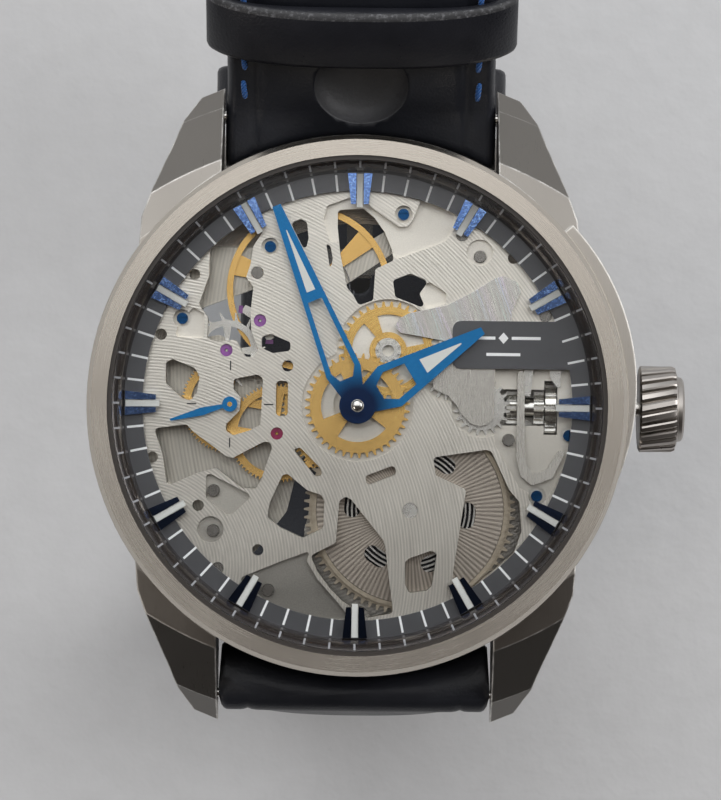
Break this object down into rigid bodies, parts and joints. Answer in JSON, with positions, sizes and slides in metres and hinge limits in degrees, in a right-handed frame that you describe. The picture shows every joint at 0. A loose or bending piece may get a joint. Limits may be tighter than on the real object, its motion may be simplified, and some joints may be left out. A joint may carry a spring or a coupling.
{
  "type": "skeleton wristwatch",
  "caption": "Hand-wound open-worked wristwatch with a pierced movement under glass, small seconds, crown and curled leather strap with buckle.",
  "frame": {"origin": "centre of the case back's flat outer face", "axes": "+Z out through the dial, +Y to twelve o'clock, +X to the crown at three o'clock"},
  "size_m": [0.0477, 0.0789, 0.059],
  "materials": {
    "brushed_steel": "satin brushed stainless steel",
    "polished_steel": "polished steel",
    "sapphire": "clear flat glass",
    "gasket": "black nylon",
    "dark_ring": "satin anthracite paint",
    "nickel": "nickel-plated brass with straight graining",
    "blued_steel": "blued steel, semi-gloss",
    "gilt_brass": "gilt brass",
    "spring_steel": "hardened spring steel",
    "ruby": "polished synthetic ruby",
    "black_leather": "smooth black calf leather"
  },
  "bodies": {
    "root": {"case_middle": "brushed_steel", "bezel": "brushed_steel", "crystal": "sapphire", "crystal_gasket": "gasket", "flange_ring": "dark_ring", "chapter_ring": "dark_ring", "hour_markers": "blued_steel", "case_back_ring": "brushed_steel", "case_back_glass": "sapphire", "movement_ring": "polished_steel", "spring_bars": "polished_steel", "main_plate": "nickel", "barrel_bridge": "nickel", "train_bridge": "nickel", "balance_cock": "nickel", "pallet_bridge": "nickel", "minute_train_bridge": "nickel", "setting_wheel_bridge": "nickel", "setting_lever_spring": "polished_steel", "dial_side_screws": "blued_steel", "bridge_screws": "polished_steel", "steady_pins": "polished_steel", "jewels": "ruby", "hairspring": "spring_steel"},
    "minute_hand": {"minute_hand": "blued_steel", "cannon_pinion": "polished_steel"},
    "hour_hand": {"hour_hand": "blued_steel", "hour_wheel": "gilt_brass"},
    "minute_wheel": {"minute_wheel": "gilt_brass"},
    "setting_wheel_small": {"setting_wheel_small": "polished_steel"},
    "setting_wheel_large": {"setting_wheel_large": "polished_steel"},
    "seconds": {"fourth_wheel": "gilt_brass", "seconds_hand": "blued_steel"},
    "third": {"third_wheel": "gilt_brass"},
    "centre": {"center_wheel": "gilt_brass"},
    "barrel": {"barrel_drum": "gilt_brass", "barrel_cover": "gilt_brass", "mainspring": "spring_steel"},
    "escape": {"escape_wheel": "polished_steel"},
    "pallet": {"pallet_fork": "polished_steel", "pallet_stones": "ruby"},
    "balance": {"balance_wheel": "gilt_brass", "balance_staff": "polished_steel"},
    "stem": {"winding_stem": "polished_steel"},
    "crown": {"crown": "polished_steel"},
    "clutch": {"sliding_clutch": "polished_steel"},
    "yoke": {"clutch_yoke": "polished_steel"},
    "lever": {"setting_lever": "polished_steel"},
    "winder": {"winding_pinion": "polished_steel"},
    "crown_wheel": {"crown_wheel": "polished_steel"},
    "ratchet": {"ratchet_wheel": "polished_steel", "barrel_arbor": "polished_steel"},
    "click": {"click": "polished_steel"},
    "strap_short": {"strap_short": "black_leather", "buckle_bar": "polished_steel", "keeper_fixed": "black_leather"},
    "strap_long": {"strap_long": "black_leather"},
    "buckle_frame": {"buckle_frame": "polished_steel"},
    "buckle_tongue": {"buckle_tongue": "polished_steel"},
    "keeper_free": {"keeper_free": "black_leather"}
  },
  "joints": [
    {"name": "minute_hand_turn", "type": "hinge", "parent": "root", "child": "minute_hand", "pos_m": [0, 0, 0.005], "axis": [0, 0, 1], "continuous": true},
    {"name": "hour_hand_turn", "type": "hinge", "parent": "root", "child": "hour_hand", "pos_m": [0, 0, 0.005], "axis": [0, 0, 1], "continuous": true},
    {"name": "minute_wheel_turn", "type": "hinge", "parent": "root", "child": "minute_wheel", "pos_m": [0.0024, 0.0044, 0.005], "axis": [0, 0, 1], "continuous": true},
    {"name": "small_setting_wheel_turn", "type": "hinge", "parent": "root", "child": "setting_wheel_small", "pos_m": [0.00713, 0.00219, 0.005], "axis": [0, 0, 1], "continuous": true},
    {"name": "large_setting_wheel_turn", "type": "hinge", "parent": "root", "child": "setting_wheel_large", "pos_m": [0.00992, 0, 0.005], "axis": [0, 0, 1], "continuous": true},
    {"name": "barrel_turn", "type": "hinge", "parent": "root", "child": "barrel", "pos_m": [0.0043, -0.0083, 0.005], "axis": [0, 0, 1], "continuous": true},
    {"name": "centre_wheel_turn", "type": "hinge", "parent": "root", "child": "centre", "pos_m": [0, 0, 0.005], "axis": [0, 0, 1], "continuous": true},
    {"name": "third_wheel_turn", "type": "hinge", "parent": "root", "child": "third", "pos_m": [-0.0064, -0.0023, 0.005], "axis": [0, 0, 1], "continuous": true},
    {"name": "seconds_turn", "type": "hinge", "parent": "root", "child": "seconds", "pos_m": [-0.01015, 0, 0.005], "axis": [0, 0, 1], "continuous": true},
    {"name": "escape_wheel_turn", "type": "hinge", "parent": "root", "child": "escape", "pos_m": [-0.0105, 0.0043, 0.005], "axis": [0, 0, 1], "continuous": true},
    {"name": "pallet_rock", "type": "hinge", "parent": "root", "child": "pallet", "pos_m": [-0.00785, 0.0067, 0.005], "axis": [0, 0, 1], "range_deg": [-3.5, 3.5]},
    {"name": "balance_swing", "type": "hinge", "parent": "root", "child": "balance", "pos_m": [-0.004, 0.0093, 0.0036], "axis": [0, 0, 1], "range_deg": [-270, 270], "stiffness_Nm_per_rad": 0.0000012, "deforming": ["hairspring"]},
    {"name": "crown_pull", "type": "slide", "parent": "root", "child": "stem", "axis": [1, 0, 0], "range_m": [0, 0.001]},
    {"name": "crown_turn", "type": "hinge", "parent": "stem", "child": "crown", "pos_m": [0.0235, 0, 0.0046], "axis": [1, 0, 0], "continuous": true},
    {"name": "clutch_slide", "type": "slide", "parent": "root", "child": "clutch", "axis": [1, 0, 0], "range_m": [-0.0009, 0]},
    {"name": "yoke_swing", "type": "hinge", "parent": "root", "child": "yoke", "pos_m": [0.0138, 0.0046, 0.006], "axis": [0, 0, 1], "range_deg": [-15, 0]},
    {"name": "setting_lever_swing", "type": "hinge", "parent": "root", "child": "lever", "pos_m": [0.0151, 0.0046, 0.006], "axis": [0, 0, 1], "range_deg": [0, 18]},
    {"name": "winding_pinion_turn", "type": "hinge", "parent": "root", "child": "winder", "pos_m": [0.0154, 0, 0.0046], "axis": [1, 0, 0], "continuous": true},
    {"name": "crown_wheel_turn", "type": "hinge", "parent": "root", "child": "crown_wheel", "pos_m": [0.011, 0, 0.0019], "axis": [0, 0, 1], "continuous": true},
    {"name": "ratchet_turn", "type": "hinge", "parent": "root", "child": "ratchet", "pos_m": [0.0043, -0.0083, 0.0019], "axis": [0, 0, 1], "continuous": true},
    {"name": "click_release", "type": "hinge", "parent": "root", "child": "click", "pos_m": [-0.0035, -0.0098, 0.0019], "axis": [0, 0, 1], "range_deg": [0, 12], "stiffness_Nm_per_rad": 0.00002},
    {"name": "strap_short_swing", "type": "hinge", "parent": "root", "child": "strap_short", "pos_m": [0, 0.0232, 0.0028], "axis": [1, 0, 0], "range_deg": [-30, 20]},
    {"name": "strap_long_swing", "type": "hinge", "parent": "root", "child": "strap_long", "pos_m": [0, -0.0232, 0.0028], "axis": [-1, 0, 0], "range_deg": [0, 55]},
    {"name": "buckle_frame_swing", "type": "hinge", "parent": "strap_short", "child": "buckle_frame", "pos_m": [0, 0.02153, -0.01962], "axis": [-1, 0, 0], "range_deg": [0, 70]},
    {"name": "buckle_tongue_swing", "type": "hinge", "parent": "strap_short", "child": "buckle_tongue", "pos_m": [0, 0.02153, -0.01962], "axis": [1, 0, 0], "range_deg": [0, 60]},
    {"name": "keeper_slide", "type": "slide", "parent": "strap_short", "child": "keeper_free", "axis": [0, 0.788, 0.6157], "range_m": [-0.0015, 0.0011]}
  ],
  "couplings": [
    {"joint": "hour_hand_turn", "follows": "minute_hand_turn", "ratio": 0.083333},
    {"joint": "minute_wheel_turn", "follows": "minute_hand_turn", "ratio": -0.33333},
    {"joint": "small_setting_wheel_turn", "follows": "minute_hand_turn", "ratio": 0.85714},
    {"joint": "large_setting_wheel_turn", "follows": "minute_hand_turn", "ratio": -0.6},
    {"joint": "barrel_turn", "follows": "seconds_turn", "ratio": -0.0020833},
    {"joint": "centre_wheel_turn", "follows": "seconds_turn", "ratio": 0.016667},
    {"joint": "third_wheel_turn", "follows": "seconds_turn", "ratio": -0.13333},
    {"joint": "escape_wheel_turn", "follows": "seconds_turn", "ratio": -10},
    {"joint": "clutch_slide", "follows": "crown_pull", "ratio": -0.9},
    {"joint": "yoke_swing", "follows": "crown_pull", "rad_per_m": -249.58},
    {"joint": "setting_lever_swing", "follows": "crown_pull", "rad_per_m": 296.71},
    {"joint": "winding_pinion_turn", "follows": "crown_turn", "ratio": 1},
    {"joint": "crown_wheel_turn", "follows": "crown_turn", "ratio": -0.42857},
    {"joint": "ratchet_turn", "follows": "crown_turn", "ratio": 0.3}
  ]
}
